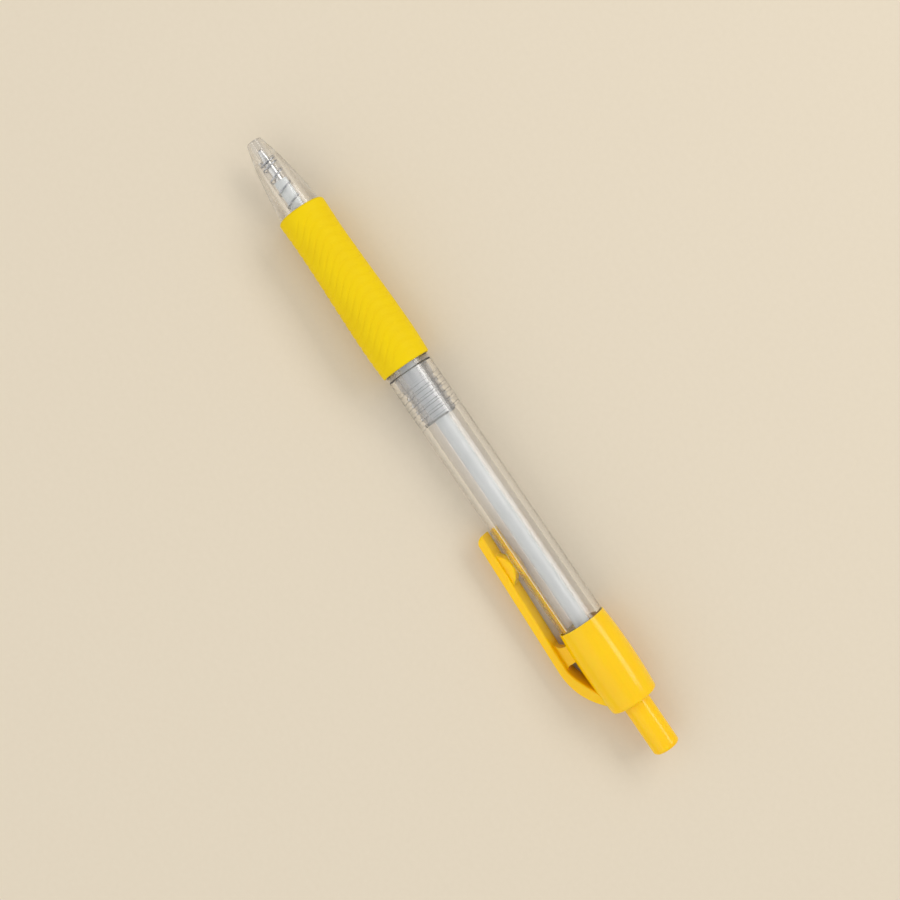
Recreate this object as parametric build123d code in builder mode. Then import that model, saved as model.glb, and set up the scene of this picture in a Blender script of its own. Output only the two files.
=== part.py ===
from build123d import *
import os
from math import asin, atan2, ceil, cos, hypot, pi, radians, sin, sqrt

# Retractable ballpoint pen: clear barrel, rubber grip, cap with a moulded clip, push button.
# Millimetres. It lies on its grip, cap and clip: nose to -X, button to +X, clip to -Y, floor at Z = 0.

# Lengths along the pen, from the nose to the button
nose_length = 16.4
grip_length = 37.1
collar_length = 1.25
barrel_length = 59.95
cap_length = 18.85
button_proud = 11.45

# Front barrel
nose_tip_radius = 1.55
nose_seat_radius = 2.74
nose_rear_radius = 4.4
nose_edge_radius = 0.3
seat_depth = 4.63
tip_hole_radius = 1.1
seat_bore_radius = 1.9
front_bore_radius = 1.95
grip_seat_radius = 3.85
collar_radius = 4.78
pilot_radius = 3.8
pilot_length = 2.6
spigot_radius = 3.45
spigot_length = 11.15
spigot_chamfer = 0.4
joint_chamfer = 0.15

# Screw thread between the two barrels
thread_pitch = 1.555
thread_root = 0.66
thread_crest = 0.42
thread_height = 0.26
thread_sink = 0.12
thread_lead_in = 3.3
thread_turns = 4.5
thread_clearance = 0.06

# Rubber grip
grip_rim_radius = 5.14
grip_waist_radius = 5.03
grip_swell_radius = 5.52
grip_rear_radius = 5.3
grip_rim_at = 1.2
grip_waist_at = 6.5
grip_swell_tail = 6.0
grip_front_round = 0.7
grip_rear_round = 0.25
grip_fit = 0.02

# Rear barrel
barrel_radius = 4.85
barrel_bore_radius = 3.55
pilot_fit = 0.1
barrel_tail_radius = 4.25
barrel_tail_length = 11.5

# Cap
cap_front_radius = 5.13
cap_middle_radius = 5.52
cap_rear_radius = 5.08
cap_rear_round = 0.75
cap_floor = 2.0
cap_fit = 0.05

# Clip, moulded with the cap
clip_overhang = 24.95
clip_width = 4.5
clip_thickness = 1.75
clip_tip_reach = 8.18
clip_heel_reach = 9.38
clip_heel_inset = 12.2
clip_heel_radius = 13.3
clip_window_inset = 6.2
clip_window_thickness = 2.9
clip_foot_inset = 1.6
clip_foot_thickness = 1.2
clip_foot_width = 8.4
clip_tip_round = 2.2
clip_side_round = 1.2
clip_tip_corner = 0.1
clip_edge_round = 0.35
clip_sink = 0.2
clip_bump_at = 8.3
clip_bump_length = 6.6
clip_bump_width = 3.0
clip_bump_gap = 0.1
clip_bump_foot = 1.2
clip_bump_bed = 0.03
clip_bump_sink = 0.6
clip_bump_round = 0.3
clip_web_at = 2.5
clip_web_length = 3.7
clip_web_width = 2.2
clip_web_front_fillet = 1.9
clip_web_rear_fillet = 0.8

# Push button
button_radius = 2.87
button_end_round = 0.9
button_bore_radius = 1.75
button_bore_depth = 6.5
button_fit = 0.1
crown_teeth = 6
crown_depth = 0.9
lug_setback = 1.45
lug_length = 2.0

# Cam rotor and the guide fingers in the cap
rotor_radius = 2.7
rotor_length = 6.4
rotor_stem_radius = 1.6
rotor_stem_length = 5.5
rotor_gap = 0.05
rib_count = 3
rib_width = 1.5
rib_reach = 3.35
rib_setback = 4.2
rib_length = 3.3
rib_slant = 1.2
slot_clearance = 0.15
finger_fit = 0.07
finger_notch = 0.8
latch_overtravel = 0.8

# Refill
tip_setback = 2.28
point_length = 7.37
ball_radius = 0.5
ball_fit = 0.02
ball_proud = 0.3
lip_radius = 0.58
cone_length = 2.02
cone_base_radius = 0.85
point_radius = 0.95
point_tail_radius = 0.75
point_tail_length = 4.0
ink_channel_radius = 0.3
holder_fit = 0.1
holder_length = 17.35
flange_fit = 0.1
flange_length = 1.2
holder_spigot_length = 5.0
tube_radius = 1.6
tube_bore_radius = 1.0
tail_inset = 0.9
ink_length = 62.0

# Return spring
spring_wire = 0.3
spring_fit = 0.1
spring_dead_turns = 1.25
spring_dead_pitch = 0.74
spring_ramp_turns = 1.25
spring_active_turns = 5.25
spring_phase = 216.0

# Play that keeps the refill off the spring seat at full press
press_play = 0.12

# Stations along the pen, measured back from the nose
grip_front = nose_length
collar_front = grip_front + grip_length
barrel_front = collar_front + collar_length
cap_front = barrel_front + barrel_length
cap_rear = cap_front + cap_length
pen_length = cap_rear + button_proud
pilot_rear = barrel_front + pilot_length
spigot_rear = barrel_front + spigot_length
point_rear = tip_setback + point_length
flange_front = point_rear + holder_length
flange_rear = flange_front + flange_length
refill_tail = cap_front + tail_inset
press_travel = point_rear - seat_depth - press_play
rib_rear = refill_tail + rib_setback + rib_length
finger_front = rib_rear - (press_travel - latch_overtravel)
crown_front = rib_rear + rotor_gap
slot_rear = crown_front + lug_setback + lug_length + slot_clearance
cap_floor_front = cap_rear - cap_floor
clip_heel = cap_rear - clip_heel_inset

# Radii from the bores of the front barrel inwards: spring, tip holder and its flange
spring_radius = seat_bore_radius - spring_fit - spring_wire / 2
holder_radius = spring_radius - spring_wire / 2 - holder_fit
flange_radius = front_bore_radius - flange_fit

# Roll that rests the clip's lower outer edge on the floor, and the axis that centres the whole on Y
axis_height = grip_swell_radius
edge_reach = clip_heel_reach - clip_edge_round
edge_half = clip_width / 2 - clip_edge_round
edge_angle = atan2(edge_half, edge_reach)
clip_roll = asin((axis_height - clip_edge_round) / hypot(edge_reach, edge_half)) - edge_angle
clip_side_reach = edge_reach * cos(clip_roll) + edge_half * sin(clip_roll) + clip_edge_round
axis_offset = (clip_side_reach - grip_swell_radius) / 2

axis_start = Vector(-pen_length / 2, axis_offset, axis_height)
pen_axis = Axis(axis_start, (1, 0, 0))
axial = Plane(axis_start, x_dir=(1, 0, 0), z_dir=(0, -1, 0))
clip_side = Plane(axis_start, x_dir=(1, 0, 0), z_dir=(0, sin(clip_roll), -cos(clip_roll)))


def around(station, radius, angle):
    """A point at a station along the pen, a radius from its axis and an angle in radians about it."""
    return axis_start + Vector(station, radius * cos(angle), radius * sin(angle))


def across(station, angle=0):
    """The plane square to the pen at a station, turned about the axis, facing the button."""
    return Plane(around(station, 0, 0), x_dir=(0, cos(angle), sin(angle)), z_dir=(1, 0, 0))


def facing_out(station, radius, angle):
    """The plane that faces out from the axis, with its first direction along the pen."""
    return Plane(around(station, radius, angle), x_dir=(1, 0, 0), z_dir=(0, cos(angle), sin(angle)))


def evenly(count):
    """Angles in radians that share out one turn."""
    return [2 * pi * number / count for number in range(count)]


def helix_knot(station, advance, radius, angle):
    """A helix point, and its direction for an advance along the pen in one turn."""
    direction = Vector(advance / (2 * pi), -radius * sin(angle), radius * cos(angle))
    return around(station, radius, angle), direction.normalized()


def wind(knots):
    """Draw a pair of tangent arcs from each knot, a point with its direction, to the next."""
    for (start, leaving), (end, arriving) in zip(knots, knots[1:]):
        chord = end - start
        bend = 1 - leaving.dot(arriving)
        lean = chord.dot(leaving + arriving)
        reach = (sqrt(lean**2 + 2 * bend * chord.dot(chord)) - lean) / (2 * bend)
        first_corner = start + leaving * reach
        turn = end - arriving * reach - first_corner
        middle = first_corner + turn * 0.5
        TangentArc(start, middle, tangent=leaving)
        TangentArc(middle, end, tangent=turn)


# Screw thread, as half turns counted from the start of the ridge on the clip's side
def thread_station(half_turn):
    return barrel_front + thread_lead_in + thread_pitch * half_turn / 2


def thread_knot(half_turn):
    return helix_knot(thread_station(half_turn), thread_pitch, spigot_radius, pi * (half_turn + 1))


def thread_knots(first_half_turn, last_half_turn):
    return [thread_knot(half_turn) for half_turn in range(first_half_turn, last_half_turn + 1)]


def thread_core(first_half_turn, last_half_turn):
    """The stretch of the pen's axis inside the thread, which keeps the swept section upright."""
    first, last = (thread_station(half_turn) for half_turn in (first_half_turn, last_half_turn))
    return Edge.make_line(around(first, 0, 0), around(last, 0, 0))


def thread_profile(half_turn, clearance=0):
    """The thread's flat-topped section where it starts, square to its path."""
    start, direction = thread_knot(half_turn)
    outward = around(0, 1, pi * (half_turn + 1)) - axis_start
    with BuildSketch(Plane(start, x_dir=outward, z_dir=direction)) as profile:
        root_half = thread_root / 2 + clearance
        crest_half = thread_crest / 2 + clearance
        Polygon(
            (-thread_sink, -root_half),
            (thread_height + clearance, -crest_half),
            (thread_height + clearance, crest_half),
            (-thread_sink, root_half),
            align=None,
        )
    return profile.sketch


ridge_half_turns = round(2 * thread_turns)
groove_reach = thread_lead_in + thread_root / 2 + thread_clearance - pilot_length - pilot_fit
groove_lead = ceil(2 * groove_reach / thread_pitch)

# Front barrel: clear nose, grip seat, collar and threaded spigot in one moulding
with BuildPart() as front_barrel:
    with BuildSketch(axial):
        with BuildLine():
            ThreePointArc(
                (0, nose_tip_radius), (seat_depth, nose_seat_radius), (grip_front, nose_rear_radius)
            )
            Polyline(
                (grip_front, nose_rear_radius),
                (grip_front, grip_seat_radius),
                (collar_front, grip_seat_radius),
                (collar_front, collar_radius),
                (barrel_front - joint_chamfer, collar_radius),
                (barrel_front, collar_radius - joint_chamfer),
                (barrel_front, pilot_radius),
                (pilot_rear, pilot_radius),
                (pilot_rear, spigot_radius),
                (spigot_rear - spigot_chamfer, spigot_radius),
                (spigot_rear, spigot_radius - spigot_chamfer),
                (spigot_rear, front_bore_radius),
                (grip_front, front_bore_radius),
                (seat_depth, seat_bore_radius),
                (seat_depth, tip_hole_radius),
                (0, tip_hole_radius),
                (0, nose_tip_radius),
            )
        make_face()
    revolve(axis=pen_axis)
    fillet(front_barrel.edges().group_by(Axis.X)[0].sort_by(SortBy.RADIUS)[-1], nose_edge_radius)
    with BuildLine() as ridge_path:
        wind(thread_knots(0, ridge_half_turns))
    sweep(thread_profile(0), path=ridge_path.line, binormal=thread_core(0, ridge_half_turns))
front_barrel.part.label = "front_barrel"

# Grip: rubber sleeve, waisted behind its front rim and swelling towards the back
with BuildPart() as grip_sleeve:
    sleeve_bore = grip_seat_radius + grip_fit
    grip_waist = grip_front + grip_waist_at
    grip_swell = collar_front - grip_swell_tail
    grip_blend_radius = (grip_waist_radius + grip_swell_radius) / 2
    with BuildSketch(axial):
        with BuildLine():
            Line((grip_front, sleeve_bore), (grip_front, grip_rim_radius))
            Line((grip_front, grip_rim_radius), (grip_front + grip_rim_at, grip_rim_radius))
            Spline(
                (grip_front + grip_rim_at, grip_rim_radius),
                (grip_waist, grip_waist_radius),
                ((grip_waist + grip_swell) / 2, grip_blend_radius),
                (grip_swell, grip_swell_radius),
                tangents=[(1, 0), (1, 0)],
            )
            TangentArc(
                (grip_swell, grip_swell_radius),
                (collar_front, grip_rear_radius),
                tangent=(1, 0),
            )
            Line((collar_front, grip_rear_radius), (collar_front, sleeve_bore))
            Line((collar_front, sleeve_bore), (grip_front, sleeve_bore))
        make_face()
    revolve(axis=pen_axis)
    fillet(grip_sleeve.edges().group_by(Axis.X)[0].sort_by(SortBy.RADIUS)[-1], grip_front_round)
    fillet(grip_sleeve.edges().group_by(Axis.X)[-1].sort_by(SortBy.RADIUS)[-1], grip_rear_round)
grip_sleeve.part.label = "grip_sleeve"

# Rear barrel: clear tube, threaded inside at the front, with a tail that the cap is pushed on
with BuildPart() as rear_barrel:
    barrel_tail_rear = cap_front + barrel_tail_length
    socket_radius = pilot_radius + pilot_fit
    socket_rear = pilot_rear + pilot_fit
    with BuildSketch(axial):
        with BuildLine():
            Polyline(
                (barrel_front, socket_radius),
                (barrel_front, barrel_radius - joint_chamfer),
                (barrel_front + joint_chamfer, barrel_radius),
                (cap_front, barrel_radius),
                (cap_front, barrel_tail_radius),
                (barrel_tail_rear, barrel_tail_radius),
                (barrel_tail_rear, barrel_bore_radius),
                (socket_rear, barrel_bore_radius),
                (socket_rear, socket_radius),
                close=True,
            )
        make_face()
    revolve(axis=pen_axis)
    with BuildLine() as groove_path:
        wind(thread_knots(-groove_lead, ridge_half_turns + 1))
    groove_core = thread_core(-groove_lead, ridge_half_turns + 1)
    groove_profile = thread_profile(-groove_lead, thread_clearance)
    sweep(groove_profile, path=groove_path.line, binormal=groove_core, mode=Mode.SUBTRACT)
rear_barrel.part.label = "rear_barrel"

# Clip cap: cap shell with the clip, its web and its bump on the outside
# and three guide fingers for the cam inside, all one moulding
clip_tip = cap_front - clip_overhang
clip_window = cap_rear - clip_window_inset
clip_foot = cap_rear - clip_foot_inset
clip_slope = (clip_heel_reach - clip_tip_reach) / (clip_heel - clip_tip)


def clip_outside(station):
    """Reach of the clip's outer face from the axis: straight to the heel, then round an arc."""
    if station <= clip_heel:
        return clip_tip_reach + clip_slope * (station - clip_tip)
    return clip_heel_reach - clip_heel_radius + sqrt(clip_heel_radius**2 - (station - clip_heel) ** 2)


def clip_inside(station):
    """Reach of the straight arm's inner face from the axis."""
    return clip_tip_reach + clip_slope * (station - clip_tip) - clip_thickness


def clip_flare(station):
    """Width of the root's inner face, which grows towards the foot."""
    share = (station - clip_heel) / (clip_foot - clip_heel)
    return clip_width + (clip_foot_width - clip_width) * share**2


def clip_section(station, thickness, inner_width):
    """The clip's rounded cross-section at a station, square to the pen."""
    outside = clip_outside(station)
    with BuildSketch(across(station, pi + clip_roll)) as section:
        Polygon(
            (outside, -clip_width / 2),
            (outside, clip_width / 2),
            (outside - thickness, inner_width / 2),
            (outside - thickness, -inner_width / 2),
            align=None,
        )
        fillet(section.vertices(), clip_edge_round)
    return section.sketch


with BuildPart() as clip_bump:
    bump_station = clip_tip + clip_bump_at
    bump_front = bump_station - clip_bump_length / 2
    bump_rear = bump_station + clip_bump_length / 2
    bed_front = bump_front - clip_bump_foot
    bed_rear = bump_rear + clip_bump_foot
    bump_feet = [(at, clip_inside(at) + clip_bump_bed) for at in (bump_front, bump_rear)]
    with BuildSketch(clip_side) as bump_side:
        with BuildLine():
            ThreePointArc(bump_feet[0], (bump_station, barrel_radius + clip_bump_gap), bump_feet[1])
            Polyline(
                bump_feet[1],
                (bed_rear, clip_inside(bed_rear) + clip_bump_bed),
                (bed_rear, clip_inside(bed_rear) + clip_bump_sink),
                (bed_front, clip_inside(bed_front) + clip_bump_sink),
                (bed_front, clip_inside(bed_front) + clip_bump_bed),
                bump_feet[0],
            )
        make_face()
        fillet(bump_side.vertices().sort_by(Axis.X)[2:4], clip_bump_foot)
    extrude(amount=clip_bump_width / 2, both=True)
    bump_faces = clip_bump.faces().sort_by(Axis(axis_start, clip_side.z_dir))
    bump_edges = bump_faces[0].edges() + bump_faces[-1].edges()
    fillet(bump_edges.filter_by(GeomType.CIRCLE), clip_bump_round)

with BuildPart() as clip_cap:
    with BuildSketch(axial):
        with BuildLine():
            ThreePointArc(
                (cap_front, cap_front_radius),
                ((cap_front + cap_rear) / 2, cap_middle_radius),
                (cap_rear, cap_rear_radius),
            )
            Polyline(
                (cap_rear, cap_rear_radius), (cap_rear, 0), (cap_front, 0), (cap_front, cap_front_radius)
            )
        make_face()
    revolve(axis=pen_axis)
    fillet(clip_cap.edges().group_by(Axis.X)[-1], cap_rear_round)

    # Straight arm, with its tip rounded off on the outside and at both sides
    tip_section = clip_section(clip_tip, clip_thickness, clip_width)
    heel_section = clip_section(clip_heel, clip_thickness, clip_width)
    loft([tip_section, heel_section], ruled=True)
    tip_round_inset = clip_tip_round - clip_tip_corner
    with BuildSketch(clip_side):
        with Locations((clip_tip + tip_round_inset, clip_tip_reach - tip_round_inset)):
            Rectangle(2 * clip_tip_round, 2 * clip_tip_round, align=(Align.MAX, Align.MIN))
            Circle(clip_tip_round, mode=Mode.SUBTRACT)
    extrude(amount=clip_width, both=True, mode=Mode.SUBTRACT)
    side_round_inset = clip_side_round - clip_tip_corner
    with BuildSketch(facing_out(clip_tip, 0, pi + clip_roll)):
        for side, outward in ((-1, Align.MAX), (1, Align.MIN)):
            with Locations((side_round_inset, side * (clip_width / 2 - side_round_inset))):
                Rectangle(2 * clip_side_round, 2 * clip_side_round, align=(Align.MAX, outward))
                Circle(clip_side_round, mode=Mode.SUBTRACT)
    extrude(amount=2 * clip_tip_reach, mode=Mode.SUBTRACT)

    # Root that bends in and widens into the cap
    window_middle = (clip_heel + clip_window) / 2
    middle_thickness = (clip_thickness + clip_window_thickness) / 2
    middle_section = clip_section(window_middle, middle_thickness, clip_flare(window_middle))
    window_section = clip_section(clip_window, clip_window_thickness, clip_flare(clip_window))
    foot_section = clip_section(clip_foot, clip_foot_thickness, clip_foot_width)
    loft([heel_section, middle_section, window_section, foot_section])

    # Web that ties the clip to the cap in front of the window
    web_front = cap_front + clip_web_at
    web_rear = web_front + clip_web_length
    web_base = cap_front_radius - clip_sink
    web_foot_front = web_front - clip_web_front_fillet
    web_foot_rear = web_rear + clip_web_rear_fillet
    front_corner = (web_foot_front, clip_inside(web_foot_front))
    rear_corner = (web_foot_rear, clip_inside(web_foot_rear))
    front_bend = (web_front, front_corner[1] - clip_web_front_fillet)
    rear_bend = (web_rear, rear_corner[1] - clip_web_rear_fillet)
    with BuildSketch(clip_side):
        with BuildLine():
            Polyline(rear_bend, (web_rear, web_base), (web_front, web_base), front_bend)
            TangentArc(front_bend, front_corner, tangent=(0, 1))
            Polyline(
                front_corner,
                (front_corner[0], front_corner[1] + clip_sink),
                (rear_corner[0], rear_corner[1] + clip_sink),
                rear_corner,
            )
            TangentArc(rear_corner, rear_bend, tangent=(-1, 0))
        make_face()
    extrude(amount=clip_web_width / 2, both=True)

    # Bump that presses on paper or cloth
    add(clip_bump.part)

    # Hollow for the rear barrel's tail, and the hole for the button
    button_hole_radius = button_radius + button_fit
    tail_socket_radius = barrel_tail_radius + cap_fit
    with BuildSketch(across(cap_front)):
        Circle(tail_socket_radius)
    extrude(amount=cap_length - cap_floor, mode=Mode.SUBTRACT)
    with BuildSketch(across(cap_floor_front)):
        Circle(button_hole_radius)
    extrude(amount=cap_floor, mode=Mode.SUBTRACT)

    # Guide fingers: a tube on the cap's floor, slotted for the ribs and notched to latch them
    with BuildSketch(across(finger_front)):
        Circle(barrel_bore_radius - finger_fit)
        Circle(button_hole_radius, mode=Mode.SUBTRACT)
    extrude(amount=cap_floor_front - finger_front)
    for angle in evenly(rib_count):
        with BuildSketch(facing_out(finger_front, 0, angle)):
            Rectangle(
                slot_rear - finger_front, rib_width + 2 * slot_clearance, align=(Align.MIN, Align.CENTER)
            )
        extrude(amount=barrel_bore_radius, mode=Mode.SUBTRACT)
        with BuildSketch(facing_out(finger_front, 0, angle + pi / rib_count)):
            Polygon((0, -finger_notch), (finger_notch, 0), (0, finger_notch), align=None)
        extrude(amount=barrel_bore_radius, mode=Mode.SUBTRACT)
clip_cap.part.label = "clip_cap"

# Push button: hollow shaft with crown teeth and three lugs that keep it from turning
with BuildPart() as push_button:
    lug_front = crown_front + lug_setback
    with BuildSketch(axial):
        with BuildLine():
            Polyline(
                (crown_front, button_bore_radius),
                (crown_front, button_radius),
                (pen_length, button_radius),
                (pen_length, 0),
                (crown_front + button_bore_depth, 0),
                (crown_front + button_bore_depth, button_bore_radius),
                close=True,
            )
        make_face()
    revolve(axis=pen_axis)
    fillet(push_button.edges().group_by(Axis.X)[-1], button_end_round)
    for angle in evenly(crown_teeth):
        with BuildSketch(facing_out(crown_front, 0, angle)):
            notch_half = pi * button_radius / crown_teeth
            Polygon((0, -notch_half), (crown_depth, 0), (0, notch_half), align=None)
        extrude(amount=barrel_bore_radius, mode=Mode.SUBTRACT)
    for angle in evenly(rib_count):
        with BuildSketch(facing_out(lug_front, button_bore_radius, angle)):
            Rectangle(lug_length, rib_width, align=(Align.MIN, Align.CENTER))
        extrude(amount=rib_reach - button_bore_radius)
push_button.part.label = "push_button"

# Cam rotor: turned body with a stem in the button and three slanted ribs that ride in the guide
with BuildPart() as cam_rotor:
    rotor_rear = refill_tail + rotor_length
    rib_front = refill_tail + rib_setback
    with BuildSketch(axial):
        with BuildLine():
            Polyline(
                (refill_tail, 0),
                (refill_tail, rotor_radius),
                (rotor_rear, rotor_radius),
                (rotor_rear, rotor_stem_radius),
                (rotor_rear + rotor_stem_length, rotor_stem_radius),
                (rotor_rear + rotor_stem_length, 0),
                close=True,
            )
        make_face()
    revolve(axis=pen_axis)
    for angle in evenly(rib_count):
        with BuildSketch(facing_out(rib_front, 0, angle)):
            Polygon(
                (0, -rib_width / 2),
                (rib_length - rib_slant, -rib_width / 2),
                (rib_length, rib_width / 2),
                (0, rib_width / 2),
                align=None,
            )
        extrude(amount=rib_reach)
cam_rotor.part.label = "cam_rotor"

# Refill tube with its ink
with BuildPart() as refill_tube:
    with BuildSketch(across(flange_rear)):
        Circle(tube_radius)
        Circle(tube_bore_radius, mode=Mode.SUBTRACT)
    extrude(amount=refill_tail - flange_rear)
refill_tube.part.label = "refill_tube"

with BuildPart() as ink_column:
    with BuildSketch(across(flange_rear + holder_spigot_length)):
        Circle(tube_bore_radius)
    extrude(amount=ink_length)
ink_column.part.label = "ink_column"

# Tip holder: white plastic, with the flange that the spring bears on and a spigot in the tube
with BuildPart() as tip_holder:
    with BuildSketch(axial):
        with BuildLine():
            Polyline(
                (point_rear, point_tail_radius),
                (point_rear, holder_radius),
                (flange_front, holder_radius),
                (flange_front, flange_radius),
                (flange_rear, flange_radius),
                (flange_rear, tube_bore_radius),
                (flange_rear + holder_spigot_length, tube_bore_radius),
                (flange_rear + holder_spigot_length, ink_channel_radius),
                (point_rear + point_tail_length, ink_channel_radius),
                (point_rear + point_tail_length, point_tail_radius),
                close=True,
            )
        make_face()
    revolve(axis=pen_axis)
tip_holder.part.label = "tip_holder"

# Writing tip: drawn metal point, its cone ending in a lip that keeps the ball in a round seat
with BuildPart() as writing_tip:
    ball_station = tip_setback + ball_radius
    seat_radius = ball_radius + ball_fit
    lip_station = tip_setback + ball_proud
    cone_rear = lip_station + cone_length
    with BuildSketch(axial):
        with BuildLine():
            Polyline(
                (lip_station, 0),
                (lip_station, lip_radius),
                (cone_rear, cone_base_radius),
                (cone_rear, point_radius),
                (point_rear, point_radius),
                (point_rear, point_tail_radius),
                (point_rear + point_tail_length, point_tail_radius),
                (point_rear + point_tail_length, 0),
                close=True,
            )
        make_face()
    revolve(axis=pen_axis)
    with BuildSketch(across(ball_station)):
        Circle(ink_channel_radius)
    extrude(amount=point_rear + point_tail_length - ball_station, mode=Mode.SUBTRACT)
    with BuildSketch(axial):
        with Locations((ball_station, 0)):
            Circle(seat_radius)
            Rectangle(2 * seat_radius, seat_radius, align=(Align.CENTER, Align.MAX), mode=Mode.SUBTRACT)
    revolve(axis=pen_axis, mode=Mode.SUBTRACT)
writing_tip.part.label = "writing_tip"

with BuildPart() as tip_ball:
    with BuildSketch(axial):
        with Locations((tip_setback + ball_radius, 0)):
            Circle(ball_radius)
            Rectangle(2 * ball_radius, ball_radius, align=(Align.CENTER, Align.MAX), mode=Mode.SUBTRACT)
    revolve(axis=pen_axis)
tip_ball.part.label = "tip_ball"

# Return spring: closed end turns with a gap between them, and open turns that ramp up from these
spring_first = seat_depth + spring_wire / 2
spring_last = flange_front - spring_wire / 2
spring_turns = 2 * (spring_dead_turns + spring_ramp_turns) + spring_active_turns
spring_open_pitch = (
    spring_last - spring_first - spring_dead_pitch * (2 * spring_dead_turns + spring_ramp_turns)
) / (spring_active_turns + spring_ramp_turns)


def spring_pitch(turn):
    """Advance per turn: the end pitch, then a straight ramp to the open pitch."""
    inward = min(turn, spring_turns - turn)
    ramp = min(max((inward - spring_dead_turns) / spring_ramp_turns, 0), 1)
    return spring_dead_pitch + ramp * (spring_open_pitch - spring_dead_pitch)


def spring_station(turn):
    """Station of the wire's centre after a number of turns, the sum of the pitch up to there."""
    if turn > spring_turns / 2:
        return spring_first + spring_last - spring_station(spring_turns - turn)
    ramped = min(max(turn - spring_dead_turns, 0), spring_ramp_turns)
    opened = max(turn - spring_dead_turns - spring_ramp_turns, 0)
    extra = (spring_open_pitch - spring_dead_pitch) * (ramped**2 / (2 * spring_ramp_turns) + opened)
    return spring_first + spring_dead_pitch * turn + extra


def spring_knot(turn):
    angle = radians(spring_phase) + 2 * pi * turn
    return helix_knot(spring_station(turn), spring_pitch(turn), spring_radius, angle)


with BuildPart() as return_spring:
    quarter_turns = round(4 * spring_turns)
    with BuildLine() as spring_path:
        wind([spring_knot(quarter / 4) for quarter in range(quarter_turns + 1)])
    with BuildSketch(Plane(spring_path.line @ 0, z_dir=spring_path.line % 0)):
        Circle(spring_wire / 2)
    sweep()
return_spring.part.label = "return_spring"

# Least gap of the spring to itself, on points along its wire that are over half a turn apart
steps_per_turn = 36
wire_points = [
    spring_path.line @ (step / (steps_per_turn * spring_turns))
    for step in range(round(steps_per_turn * spring_turns) + 1)
]
least_gap = min(
    (first - second).length - spring_wire
    for number, first in enumerate(wire_points)
    for second in wire_points[number + steps_per_turn // 2:]
)
print(f"return_spring least gap to itself {least_gap:.3f} mm")

os.makedirs("parts", exist_ok=True)
pieces = (
    front_barrel, grip_sleeve, rear_barrel, clip_cap, push_button, cam_rotor,
    refill_tube, ink_column, tip_holder, writing_tip, tip_ball, return_spring,
)
for piece in pieces:
    export_step(piece.part, f"parts/{piece.part.label}.step")
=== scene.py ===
from math import cos, pi, radians, sin

import bmesh
import bpy
from mathutils import Matrix, Vector
from mathutils.geometry import interpolate_bezier


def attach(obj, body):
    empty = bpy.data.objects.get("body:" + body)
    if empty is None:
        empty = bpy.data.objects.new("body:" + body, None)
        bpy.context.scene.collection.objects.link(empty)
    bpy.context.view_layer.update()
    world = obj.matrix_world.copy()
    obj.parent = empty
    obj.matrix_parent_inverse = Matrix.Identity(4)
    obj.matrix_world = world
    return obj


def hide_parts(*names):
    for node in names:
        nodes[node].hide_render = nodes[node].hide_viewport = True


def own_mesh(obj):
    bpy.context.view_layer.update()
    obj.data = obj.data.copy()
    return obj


# The pen's solid parts come in as a fixed frame: nose towards -X, button towards +X,
# clip towards -Y and the table at Z = 0.
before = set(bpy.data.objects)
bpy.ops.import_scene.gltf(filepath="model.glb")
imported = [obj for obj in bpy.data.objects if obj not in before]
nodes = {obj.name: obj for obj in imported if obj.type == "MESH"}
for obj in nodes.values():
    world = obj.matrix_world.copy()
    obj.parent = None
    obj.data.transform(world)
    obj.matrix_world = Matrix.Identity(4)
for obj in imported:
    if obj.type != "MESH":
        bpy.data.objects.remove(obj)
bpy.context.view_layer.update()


# Refill tube and tip holder: the tube is extruded in white plastic and pushed on the holder,
# which is moulded in the same plastic and carries the metal point.
def node(tree, kind, **settings):
    """Add a node to a material or group and set its properties."""
    made = tree.nodes.new(kind)
    for name, value in settings.items():
        setattr(made, name, value)
    return made


def group(name, inputs, outputs):
    """A shader node group with float inputs and outputs, and its two end nodes."""
    tree = bpy.data.node_groups.new(name, "ShaderNodeTree")
    for label, value in inputs.items():
        socket = tree.interface.new_socket(label, in_out="INPUT", socket_type="NodeSocketFloat")
        socket.default_value = value
    for label in outputs:
        tree.interface.new_socket(label, in_out="OUTPUT", socket_type="NodeSocketFloat")
    return tree, node(tree, "NodeGroupInput"), node(tree, "NodeGroupOutput")


def noise(tree, coordinates, scale, detail=2.0, roughness=0.5):
    """A noise texture on these coordinates; the scale is in cells per metre."""
    texture = node(tree, "ShaderNodeTexNoise")
    texture.inputs["Scale"].default_value = scale
    texture.inputs["Detail"].default_value = detail
    texture.inputs["Roughness"].default_value = roughness
    tree.links.new(coordinates, texture.inputs["Vector"])
    return texture.outputs["Fac"]


def stretched(tree, coordinates, along, across):
    """Coordinates scaled along the pen and across it, for marks that run one way."""
    mapping = node(tree, "ShaderNodeMapping")
    mapping.inputs["Scale"].default_value = (along, across, across)
    tree.links.new(coordinates, mapping.inputs["Vector"])
    return mapping.outputs["Vector"]


def ranged(tree, value, low, high, to_low, to_high):
    """Map a value from one range to another, held at the ends."""
    change = node(tree, "ShaderNodeMapRange")
    for socket, number in zip(change.inputs[1:5], (low, high, to_low, to_high)):
        if isinstance(number, bpy.types.NodeSocket):
            tree.links.new(number, socket)
        else:
            socket.default_value = number
    tree.links.new(value, change.inputs["Value"])
    return change.outputs["Result"]


def joined(tree, operation, first, second):
    """Two values, or a value and a number, put together by a Math node."""
    maths = node(tree, "ShaderNodeMath", operation=operation)
    for socket, value in zip(maths.inputs, (first, second)):
        if isinstance(value, bpy.types.NodeSocket):
            tree.links.new(value, socket)
        else:
            socket.default_value = value
    return maths.outputs["Value"]


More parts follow.
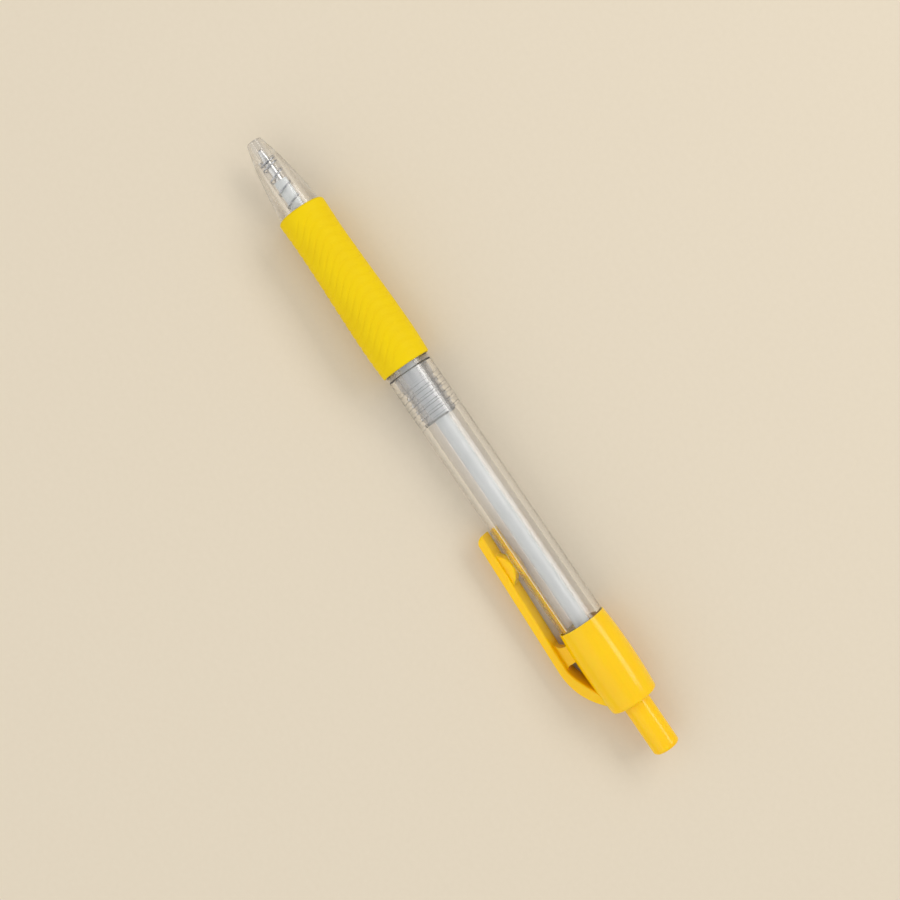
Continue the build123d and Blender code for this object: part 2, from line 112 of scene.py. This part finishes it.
# Skin of a moulded or extruded plastic: cloudy handling marks, fine hairline scratches along
# the piece, and the slight ripple that the mould leaves.
CLOUD_SPAN = (0.35, 0.7)
HAIRLINE_STRETCH = 0.05
HAIRLINE_SCALE = 5200.0
HAIRLINE_SPAN = (0.62, 0.74)
SCRATCH_SHARE = 0.15
plastic_skin, skin_in, skin_out = group(
    "plastic_skin",
    {"Cloud Scale": 160.0, "Ripple Scale": 900.0},
    ("Cloud", "Scratch", "Height"),
)
skin_place = node(plastic_skin, "ShaderNodeTexCoord").outputs["Object"]
cloud = node(plastic_skin, "ShaderNodeTexNoise")
cloud.inputs["Detail"].default_value = 5.0
plastic_skin.links.new(skin_place, cloud.inputs["Vector"])
plastic_skin.links.new(skin_in.outputs["Cloud Scale"], cloud.inputs["Scale"])
plastic_skin.links.new(
    ranged(plastic_skin, cloud.outputs["Fac"], *CLOUD_SPAN, 0.0, 1.0), skin_out.inputs["Cloud"]
)
hairline_place = stretched(plastic_skin, skin_place, HAIRLINE_STRETCH, 1.0)
hairlines = noise(plastic_skin, hairline_place, HAIRLINE_SCALE, detail=3.0, roughness=0.7)
hairlines = ranged(plastic_skin, hairlines, *HAIRLINE_SPAN, 0.0, 1.0)
plastic_skin.links.new(hairlines, skin_out.inputs["Scratch"])
ripple = node(plastic_skin, "ShaderNodeTexNoise")
ripple.inputs["Detail"].default_value = 1.0
plastic_skin.links.new(skin_place, ripple.inputs["Vector"])
plastic_skin.links.new(skin_in.outputs["Ripple Scale"], ripple.inputs["Scale"])
scratch_depth = joined(plastic_skin, "MULTIPLY", hairlines, SCRATCH_SHARE)
plastic_skin.links.new(
    joined(plastic_skin, "SUBTRACT", ripple.outputs["Fac"], scratch_depth), skin_out.inputs["Height"]
)


def new_finish(name):
    """A node material with one Principled shader, ready to be wired."""
    material = bpy.data.materials.new(name)
    material.use_nodes = True
    return material, material.node_tree, material.node_tree.nodes["Principled BSDF"]


def blend_colours(tree, mask, first, second):
    """A colour that runs from the first to the second with a mask."""
    mix = node(tree, "ShaderNodeMix", data_type="RGBA")
    mix.inputs[6].default_value = (*first, 1.0)
    mix.inputs[7].default_value = (*second, 1.0)
    tree.links.new(mask, mix.inputs["Factor"])
    return mix.outputs[2]


def bumped(tree, shader, height, depth, strength=1.0):
    """Feed a height to the shader's normal; the depth is in metres."""
    bump = node(tree, "ShaderNodeBump")
    bump.inputs["Strength"].default_value = strength
    bump.inputs["Distance"].default_value = depth
    tree.links.new(height, bump.inputs["Height"])
    tree.links.new(bump.outputs["Normal"], shader.inputs["Normal"])


def plastic(name, clean, handled, gloss, worn_gloss, cloud_scale, ripple_depth):
    """Moulded plastic: its colour and gloss dull a little where it has been handled."""
    material, tree, shader = new_finish(name)
    skin = node(tree, "ShaderNodeGroup", node_tree=plastic_skin)
    skin.inputs["Cloud Scale"].default_value = cloud_scale
    marks = joined(tree, "MAXIMUM", skin.outputs["Cloud"], skin.outputs["Scratch"])
    colour = blend_colours(tree, skin.outputs["Cloud"], clean, handled)
    tree.links.new(colour, shader.inputs["Base Color"])
    dullness = ranged(tree, marks, 0.0, 1.0, gloss, worn_gloss)
    tree.links.new(dullness, shader.inputs["Roughness"])
    bumped(tree, shader, skin.outputs["Height"], ripple_depth)
    return material, tree, shader


def dress(name, material):
    """Give a solid part its finish."""
    nodes[name].material_slots[0].material = material


white_plastic, _, _ = plastic(
    "white_plastic",
    clean=(0.70, 0.71, 0.685),
    handled=(0.65, 0.665, 0.64),
    gloss=0.3,
    worn_gloss=0.42,
    cloud_scale=140.0,
    ripple_depth=0.00001,
)
dress("refill_tube", white_plastic)
dress("tip_holder", white_plastic)

# Ink: a column of dark blue paste that is filled into the tube behind the holder and takes up
# most of its length. It is thick enough to stay there, with faint streaks along the tube.
INK_DEEP = (0.006, 0.012, 0.11)
INK_STREAK = (0.012, 0.03, 0.2)
STREAK_STRETCH = 0.2
STREAK_SCALE = 1500.0
NOISE_SPAN = (0.3, 0.7)
ink_paste, ink_tree, ink_shader = new_finish("ink_paste")
ink_place = node(ink_tree, "ShaderNodeTexCoord").outputs["Object"]
streak_place = stretched(ink_tree, ink_place, STREAK_STRETCH, 1.0)
ink_streaks = noise(ink_tree, streak_place, STREAK_SCALE, detail=3.0)
ink_colour = blend_colours(ink_tree, ink_streaks, INK_DEEP, INK_STREAK)
ink_tree.links.new(ink_colour, ink_shader.inputs["Base Color"])
ink_dullness = ranged(ink_tree, ink_streaks, *NOISE_SPAN, 0.12, 0.25)
ink_tree.links.new(ink_dullness, ink_shader.inputs["Roughness"])
dress("ink_column", ink_paste)

# Writing point and ball: the point is turned from nickel silver rod and its lip is rolled over
# a hard ball that turns in it.
LINE_STRETCH = 0.04
STAIN_SPAN = (0.4, 0.7)
turned_metal, turned_in, turned_out = group(
    "turned_metal", {"Line Scale": 9000.0, "Stain Scale": 500.0}, ("Line", "Stain")
)
turned_place = node(turned_metal, "ShaderNodeTexCoord").outputs["Object"]
line = node(turned_metal, "ShaderNodeTexNoise")
line.inputs["Detail"].default_value = 2.0
line_place = stretched(turned_metal, turned_place, 1.0, LINE_STRETCH)
turned_metal.links.new(line_place, line.inputs["Vector"])
turned_metal.links.new(turned_in.outputs["Line Scale"], line.inputs["Scale"])
turned_metal.links.new(line.outputs["Fac"], turned_out.inputs["Line"])
stain = node(turned_metal, "ShaderNodeTexNoise")
stain.inputs["Detail"].default_value = 4.0
turned_metal.links.new(turned_place, stain.inputs["Vector"])
turned_metal.links.new(turned_in.outputs["Stain Scale"], stain.inputs["Scale"])
turned_metal.links.new(
    ranged(turned_metal, stain.outputs["Fac"], *STAIN_SPAN, 0.0, 1.0), turned_out.inputs["Stain"]
)


def metal(name, bright, tarnished, smooth, rough, line_scale, line_depth):
    """Turned or drawn metal: fine tool lines, and a faint tarnish in patches."""
    material, tree, shader = new_finish(name)
    shader.inputs["Metallic"].default_value = 1.0
    lines = node(tree, "ShaderNodeGroup", node_tree=turned_metal)
    lines.inputs["Line Scale"].default_value = line_scale
    colour = blend_colours(tree, lines.outputs["Stain"], bright, tarnished)
    tree.links.new(colour, shader.inputs["Base Color"])
    dullness = ranged(tree, lines.outputs["Line"], *NOISE_SPAN, smooth, rough)
    tree.links.new(dullness, shader.inputs["Roughness"])
    bumped(tree, shader, lines.outputs["Line"], line_depth)
    return material


nickel_silver = metal(
    "nickel_silver",
    bright=(0.70, 0.68, 0.64),
    tarnished=(0.58, 0.55, 0.49),
    smooth=0.16,
    rough=0.3,
    line_scale=9000.0,
    line_depth=0.000004,
)
dress("writing_tip", nickel_silver)
hard_ball = metal(
    "hard_ball",
    bright=(0.42, 0.42, 0.43),
    tarnished=(0.33, 0.33, 0.34),
    smooth=0.08,
    rough=0.16,
    line_scale=20000.0,
    line_depth=0.000001,
)
dress("tip_ball", hard_ball)

# Return spring: cold wound from drawn steel wire, with close turns at each end.
# It sits between the nose and the holder's flange and shortens when the button is pressed.
MM = 0.001
AXIS = Vector((-72.5, 1.9544, 5.52)) * MM


def on_pen(station, radius=0.0, angle=0.0):
    """A point of the pen: mm from the nose, mm from the axis, and its turn in radians."""
    return AXIS + Vector((station, radius * cos(angle), radius * sin(angle))) * MM


def piece(name, mesh, material):
    """Make an object with its place in its mesh, and smooth its faces."""
    data = bpy.data.meshes.new(name)
    mesh.to_mesh(data)
    mesh.free()
    data.shade_smooth()
    data.materials.append(material)
    made = bpy.data.objects.new(name, data)
    bpy.context.scene.collection.objects.link(made)
    return made


WIRE_RADIUS = 0.15
WIRE_SIDES = 16
COIL_RADIUS = 1.65
COIL_FRONT = 4.78
COIL_PHASE = radians(216.0)
CLOSED_TURNS = 1.25
CLOSED_PITCH = 0.74
RAMP_QUARTERS = 5
OPEN_TURNS = 5.25
OPEN_PITCH = 2.968
STEPS_PER_TURN = 72
WIRE_LEAN = radians(9.0)
pitch_rise = (OPEN_PITCH - CLOSED_PITCH) / RAMP_QUARTERS
ramp = [(0.25, CLOSED_PITCH + pitch_rise * (quarter + 0.5)) for quarter in range(RAMP_QUARTERS)]
end_turns = (CLOSED_TURNS, CLOSED_PITCH)
coil_runs = [end_turns, *ramp, (OPEN_TURNS, OPEN_PITCH), *reversed(ramp), end_turns]
coil = bmesh.new()
wire_turn = Matrix.Rotation(COIL_PHASE, 4, "X") @ Matrix.Rotation(WIRE_LEAN, 4, "Y")
wire_start = Matrix.Translation(on_pen(COIL_FRONT, COIL_RADIUS, COIL_PHASE)) @ wire_turn
wire_end = bmesh.ops.create_circle(
    coil, segments=WIRE_SIDES, radius=WIRE_RADIUS * MM, matrix=wire_start
)
ring = wire_end["verts"]
ring += list({edge for vert in ring for edge in vert.link_edges})
coil_ends = [edge for edge in ring if isinstance(edge, bmesh.types.BMEdge)]
for turns, pitch in coil_runs:
    steps = round(turns * STEPS_PER_TURN)
    ring = bmesh.ops.spin(
        coil,
        geom=ring,
        cent=AXIS,
        axis=(1, 0, 0),
        dvec=(pitch * turns / steps * MM, 0, 0),
        angle=2 * pi * turns,
        steps=steps,
    )["geom_last"]
coil_ends += [edge for edge in ring if isinstance(edge, bmesh.types.BMEdge)]
bmesh.ops.edgeloop_fill(coil, edges=coil_ends)
bmesh.ops.recalc_face_normals(coil, faces=coil.faces)
spring_steel = metal(
    "spring_steel",
    bright=(0.56, 0.56, 0.57),
    tarnished=(0.42, 0.42, 0.43),
    smooth=0.2,
    rough=0.34,
    line_scale=6000.0,
    line_depth=0.000003,
)
wound_spring = piece("wound_spring", coil, spring_steel)
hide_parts("return_spring")
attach(wound_spring, "spring")
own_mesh(wound_spring)

# Front barrel: one clear moulding with the nose, the seat of the grip, a collar and a screw
# thread. Lamps reach what is inside it, it has light handling marks, its end faces and the
# flanks of its thread are dull and darkened with painted shade, and the core pin has left its
# bore frosted inside the thread.
# Painted shade: the colour that end faces and thread flanks are darkened to, for the dark lines seen
# there.
END_PAINTED_SHADE = (0.30, 0.29, 0.27, 1.0)
END_ROUGHNESS = 0.5
PLASTIC_IOR = 1.55
LAMP_PASS = (0.86, 0.86, 0.87, 1.0)
# Mask of faces that face along the pen; it sets their roughness and their painted shade.
dull_shaded_ends, ends_in, ends_out = group(
    "dull_shaded_ends", {"Lean Start": 0.6, "Lean Full": 0.7}, ("End Face",)
)
face_way = node(dull_shaded_ends, "ShaderNodeSeparateXYZ")
face_normal = node(dull_shaded_ends, "ShaderNodeTexCoord").outputs["Normal"]
dull_shaded_ends.links.new(face_normal, face_way.inputs["Vector"])
face_lean = joined(dull_shaded_ends, "ABSOLUTE", face_way.outputs["X"], 0.0)
lean_start = ends_in.outputs["Lean Start"]
lean_full = ends_in.outputs["Lean Full"]
dull_shaded_ends.links.new(
    ranged(dull_shaded_ends, face_lean, lean_start, lean_full, 0.0, 1.0), ends_out.inputs["End Face"]
)


def from_nose(tree):
    """Distances from the middle of the nose's end: along the pen, across it and up."""
    offset = node(tree, "ShaderNodeVectorMath", operation="SUBTRACT")
    offset.inputs[1].default_value = AXIS
    tree.links.new(node(tree, "ShaderNodeTexCoord").outputs["Object"], offset.inputs[0])
    parts = node(tree, "ShaderNodeSeparateXYZ")
    tree.links.new(offset.outputs["Vector"], parts.inputs["Vector"])
    return parts.outputs["X"], parts.outputs["Y"], parts.outputs["Z"]


def rougher(tree, shader, roughness):
    """Raise the shader's roughness to a value where that is higher."""
    socket = shader.inputs["Roughness"]
    tree.links.new(joined(tree, "MAXIMUM", socket.links[0].from_socket, roughness), socket)


def clear_plastic(name):
    """Clear plastic that lets lamps shine through, with dull end faces darkened by painted shade."""
    material, tree, shader = plastic(
        name,
        clean=(0.93, 0.93, 0.935),
        handled=(0.90, 0.90, 0.905),
        gloss=0.02,
        worn_gloss=0.09,
        cloud_scale=110.0,
        ripple_depth=0.000003,
    )
    end_face = node(tree, "ShaderNodeGroup", node_tree=dull_shaded_ends).outputs["End Face"]
    # Painted shade: the end faces and thread flanks are mixed towards a dark colour.
    painted_shade_mix = node(tree, "ShaderNodeMix", data_type="RGBA")
    painted_shade_mix.inputs[7].default_value = END_PAINTED_SHADE
    tree.links.new(end_face, painted_shade_mix.inputs["Factor"])
    tree.links.new(shader.inputs["Base Color"].links[0].from_socket, painted_shade_mix.inputs[6])
    tree.links.new(painted_shade_mix.outputs[2], shader.inputs["Base Color"])
    rougher(tree, shader, joined(tree, "MULTIPLY", end_face, END_ROUGHNESS))
    shader.inputs["Transmission Weight"].default_value = 1.0
    shader.inputs["IOR"].default_value = PLASTIC_IOR
    shader.inputs["Specular IOR Level"].default_value = 0.35
    lamp_pass = node(tree, "ShaderNodeBsdfTransparent")
    lamp_pass.inputs["Color"].default_value = LAMP_PASS
    ray_kind = node(tree, "ShaderNodeLightPath")
    ray_choice = node(tree, "ShaderNodeMixShader")
    tree.links.new(ray_kind.outputs["Is Shadow Ray"], ray_choice.inputs["Fac"])
    tree.links.new(shader.outputs["BSDF"], ray_choice.inputs[1])
    tree.links.new(lamp_pass.outputs["BSDF"], ray_choice.inputs[2])
    tree.links.new(ray_choice.outputs["Shader"], tree.nodes["Material Output"].inputs["Surface"])
    return material, tree, shader


FROST_FRONT = 50.0
FROST_RADIUS = 2.1
FROST_ROUGHNESS = 0.55
front_clear, front_tree, front_shader = clear_plastic("front_clear_plastic")
bore_along, bore_across, bore_up = from_nose(front_tree)
bore_square = joined(
    front_tree,
    "ADD",
    joined(front_tree, "POWER", bore_across, 2.0),
    joined(front_tree, "POWER", bore_up, 2.0),
)
in_bore = joined(front_tree, "LESS_THAN", bore_square, (FROST_RADIUS * MM) ** 2)
in_thread = joined(front_tree, "GREATER_THAN", bore_along, FROST_FRONT * MM)
frosted = joined(front_tree, "MULTIPLY", in_bore, in_thread)
rougher(front_tree, front_shader, joined(front_tree, "MULTIPLY", frosted, FROST_ROUGHNESS))
dress("front_barrel", front_clear)

# Grip: a rubber sleeve moulded with shallow wavy grooves that wind round it, and stretched over
# the front barrel. Its waist is behind the front rim and it swells towards the back.
GRIP_FRONT = 16.4
GRIP_REAR = 53.5
GRIP_BORE = 3.87
GRIP_RIM = 5.14
GRIP_WAIST = 5.03
GRIP_SWELL = 5.52
FRONT_FACE = (GRIP_FRONT, 4.44)
RIM_AT = (17.1, GRIP_RIM)
WAIST_AT = (22.9, GRIP_WAIST)
SWELL_AT = (47.5, GRIP_SWELL)
REAR_EDGE = (53.25, 5.315)
REAR_FACE = (GRIP_REAR, 5.05)
GRIP_STEPS = 300
MERGE_DISTANCE = 1e-7
grip_profile = [
    ((GRIP_FRONT, GRIP_BORE), (GRIP_FRONT, 4.0), (GRIP_FRONT, 4.2), FRONT_FACE),
    (FRONT_FACE, (GRIP_FRONT, 4.84), (16.7, GRIP_RIM), RIM_AT),
    (RIM_AT, (19.0, GRIP_RIM), (20.6, GRIP_WAIST), WAIST_AT),
    (WAIST_AT, (31.0, GRIP_WAIST), (39.0, GRIP_SWELL), SWELL_AT),
    (SWELL_AT, (49.5, GRIP_SWELL), (51.4, 5.43), REAR_EDGE),
    (REAR_EDGE, (53.4, 5.3), (GRIP_REAR, 5.2), REAR_FACE),
    (REAR_FACE, (GRIP_REAR, 4.6), (GRIP_REAR, 4.2), (GRIP_REAR, GRIP_BORE)),
]
grip_points = (4, 7, 34, 138, 34, 6, 4)
sleeve = bmesh.new()
outline = []
for curve, count in zip(grip_profile, grip_points):
    knots = [Vector((station, radius, 0.0)) for station, radius in curve]
    outline += interpolate_bezier(*knots, count)[:-1]
outline.append(Vector((GRIP_REAR, GRIP_BORE, 0.0)))
rows = [sleeve.verts.new(on_pen(point.x, point.y)) for point in outline]
spun = rows + [sleeve.edges.new(pair) for pair in zip(rows, rows[1:] + rows[:1])]
bmesh.ops.spin(
    sleeve, geom=spun, cent=AXIS, axis=(1, 0, 0), angle=2 * pi, steps=GRIP_STEPS, use_merge=True
)
bmesh.ops.remove_doubles(sleeve, verts=sleeve.verts, dist=MERGE_DISTANCE)
bmesh.ops.recalc_face_normals(sleeve, faces=sleeve.faces)
GROOVE_STARTS = 6
GROOVE_SPACING = 1.92
GROOVE_WAVES = 3
GROOVE_WAVE = 1.05
GROOVE_WAVE_AT = radians(20.0)
GROOVE_DEPTH = 0.135
GROOVE_SHARE = 0.36
GROOVE_FRONT = 18.0
GROOVE_REAR = 52.4
GROOVE_FADE = 1.2
GROOVED_SKIN = GRIP_BORE + 0.5
UP = Vector((0.0, 0.0, 1.0))
for vert in sleeve.verts:
    place = (vert.co - AXIS) / MM
    out = Vector((0.0, place.y, place.z))
    inside = min(place.x - GROOVE_FRONT, GROOVE_REAR - place.x) / GROOVE_FADE
    if out.length < GROOVED_SKIN or inside <= 0:
        continue
    turn = UP.angle(out) * (1 if place.y <= 0 else -1)
    wave = GROOVE_WAVE * sin(GROOVE_WAVES * (turn - GROOVE_WAVE_AT))
    phase = ((place.x - wave) / GROOVE_SPACING - GROOVE_STARTS * turn / (2 * pi)) % 1.0
    across = abs(phase - 0.5) / (GROOVE_SHARE / 2)
    if across < 1:
        depth = GROOVE_DEPTH * min(inside, 1.0) * (0.5 + 0.5 * cos(pi * across))
        vert.co -= out.normalized() * depth * MM
RUBBER_CLEAN = (0.845, 0.60, 0.002)
RUBBER_WORN = (0.815, 0.565, 0.004)
WEAR_SCALE = 180.0
GRAIN_SCALE = 7000.0
GRAIN_DEPTH = 0.00002
rubber, rubber_tree, rubber_shader = new_finish("yellow_rubber")
rubber_place = node(rubber_tree, "ShaderNodeTexCoord").outputs["Object"]
rubber_wear = noise(rubber_tree, rubber_place, WEAR_SCALE, detail=6.0, roughness=0.6)
rubber_grain = noise(rubber_tree, rubber_place, GRAIN_SCALE)
rubber_worn = ranged(rubber_tree, rubber_wear, *CLOUD_SPAN, 0.0, 1.0)
rubber_colour = blend_colours(rubber_tree, rubber_worn, RUBBER_CLEAN, RUBBER_WORN)
rubber_tree.links.new(rubber_colour, rubber_shader.inputs["Base Color"])
rubber_dullness = ranged(rubber_tree, rubber_wear, *NOISE_SPAN, 0.5, 0.62)
rubber_tree.links.new(rubber_dullness, rubber_shader.inputs["Roughness"])
rubber_shader.inputs["Specular IOR Level"].default_value = 0.1
bumped(rubber_tree, rubber_shader, rubber_grain, GRAIN_DEPTH)
ribbed_grip = piece("ribbed_grip", sleeve, rubber)
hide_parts("grip_sleeve")
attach(ribbed_grip, "front")

# Rear barrel: a clear tube of the same plastic, with the matching thread moulded inside its
# front end. The front barrel screws into it, and its tail carries the cap.
rear_clear, _, _ = clear_plastic("rear_clear_plastic")
dress("rear_barrel", rear_clear)

# Cam rotor: a small moulding in uncoloured plastic, loose between the tube and the button.
# Its slanted ribs click round in the guide that is moulded inside the cap.
natural_plastic, _, _ = plastic(
    "natural_plastic",
    clean=(0.78, 0.77, 0.70),
    handled=(0.72, 0.71, 0.64),
    gloss=0.34,
    worn_gloss=0.46,
    cloud_scale=200.0,
    ripple_depth=0.00001,
)
dress("cam_rotor", natural_plastic)

# Push button and clip cap: glossy yellow mouldings. The clip, its web and its bump are one
# piece with the cap, which is pushed on the rear barrel's tail.
yellow_plastic, _, yellow_shader = plastic(
    "yellow_plastic",
    clean=(0.965, 0.575, 0.0),
    handled=(0.95, 0.555, 0.001),
    gloss=0.12,
    worn_gloss=0.2,
    cloud_scale=120.0,
    ripple_depth=0.000005,
)
yellow_shader.inputs["Specular IOR Level"].default_value = 0.3
yellow_shader.inputs["Subsurface Weight"].default_value = 0.3
yellow_shader.inputs["Subsurface Radius"].default_value = (1.0, 0.35, 0.05)
yellow_shader.inputs["Subsurface Scale"].default_value = 0.0015
dress("push_button", yellow_plastic)
dress("clip_cap", yellow_plastic)

# Table: a plain pale sheet of matt board under the pen, with a faint grain.
# It is only the stage, and large enough to fill a low view.
TABLE_SIZE = 3.0
TABLE_LOW = (0.71, 0.615, 0.475)
TABLE_HIGH = (0.735, 0.64, 0.50)
TABLE_GRAIN_SCALE = 900.0
sheet = bmesh.new()
bmesh.ops.create_grid(sheet, x_segments=1, y_segments=1, size=TABLE_SIZE)
table_paint, table_tree, table_shader = new_finish("pale_table")
table_place = node(table_tree, "ShaderNodeTexCoord").outputs["Object"]
table_grain = noise(table_tree, table_place, TABLE_GRAIN_SCALE, detail=3.0)
table_colour = blend_colours(table_tree, table_grain, TABLE_LOW, TABLE_HIGH)
table_tree.links.new(table_colour, table_shader.inputs["Base Color"])
table_shader.inputs["Roughness"].default_value = 0.9
table_shader.inputs["Specular IOR Level"].default_value = 0.2
piece("table", sheet, table_paint)

# Light: a pale room, dimmer near the floor, with a long soft lamp beyond the upper right side
# of the picture and a wide, even softer one across from it.
ROOM_TINT = (0.96, 0.98, 1.0, 1.0)
ROOM_FLOOR_LEVEL = 0.45
ROOM_LIGHT = 0.79
WALL_RISE = 0.3
room = bpy.data.worlds.new("pale_room")
room.use_nodes = True
room_tree = room.node_tree
room_height = node(room_tree, "ShaderNodeSeparateXYZ")
room_place = node(room_tree, "ShaderNodeTexCoord").outputs["Generated"]
room_tree.links.new(room_place, room_height.inputs["Vector"])
room_tree.links.new(
    ranged(room_tree, room_height.outputs["Z"], 0.0, WALL_RISE, ROOM_FLOOR_LEVEL, ROOM_LIGHT),
    room_tree.nodes["Background"].inputs["Strength"],
)
room_tree.nodes["Background"].inputs["Color"].default_value = ROOM_TINT
bpy.context.scene.world = room


def lamp(name, place, aim, width, length, watts, tint):
    """A soft rectangular lamp that faces a point."""
    data = bpy.data.lights.new(name, "AREA")
    data.shape = "RECTANGLE"
    data.size = width
    data.size_y = length
    data.energy = watts
    data.color = tint
    made = bpy.data.objects.new(name, data)
    made.location = place
    made.rotation_euler = (Vector(aim) - Vector(place)).to_track_quat("-Z", "Y").to_euler()
    bpy.context.scene.collection.objects.link(made)


LAMP_TINT = (1.0, 0.98, 0.95)
lamp(
    "side_lamp",
    place=(-0.05, 0.62, 0.52),
    aim=(-0.05, 0.0, 0.0),
    width=0.7,
    length=0.26,
    watts=2.3,
    tint=LAMP_TINT,
)
lamp(
    "fill_lamp",
    place=(0.0, -0.8, 0.6),
    aim=(0.0, 0.0, 0.0),
    width=2.4,
    length=1.2,
    watts=4.3,
    tint=LAMP_TINT,
)

# Camera: straight above the pen, turned so that the pen lies across the picture with the nose
# at the upper left. The lens is set so that the pen fills as much of the picture as it should.
VIEW_HEIGHT = 0.33
VIEW_CENTRE = Vector((-0.00038, -0.00034, VIEW_HEIGHT))
PEN_ACROSS = Vector((0.5642, -0.8256)).normalized()
PICTURE_WIDTH = 0.17776
LENS_SENSOR = 36.0
NEAREST = 0.01
camera_data = bpy.data.cameras.new("camera")
camera_data.sensor_width = LENS_SENSOR
camera_data.lens = LENS_SENSOR * (VIEW_HEIGHT - AXIS.z) / PICTURE_WIDTH
camera_data.clip_start = NEAREST
camera = bpy.data.objects.new("camera", camera_data)
picture_right = Vector((PEN_ACROSS.x, -PEN_ACROSS.y, 0.0))
picture_up = Vector((PEN_ACROSS.y, PEN_ACROSS.x, 0.0))
view_turn = Matrix((picture_right, picture_up, (0.0, 0.0, 1.0))).transposed()
camera.matrix_world = Matrix.Translation(VIEW_CENTRE) @ view_turn.to_4x4()
bpy.context.scene.collection.objects.link(camera)
bpy.context.scene.camera = camera
bpy.context.scene.view_settings.view_transform = "Standard"
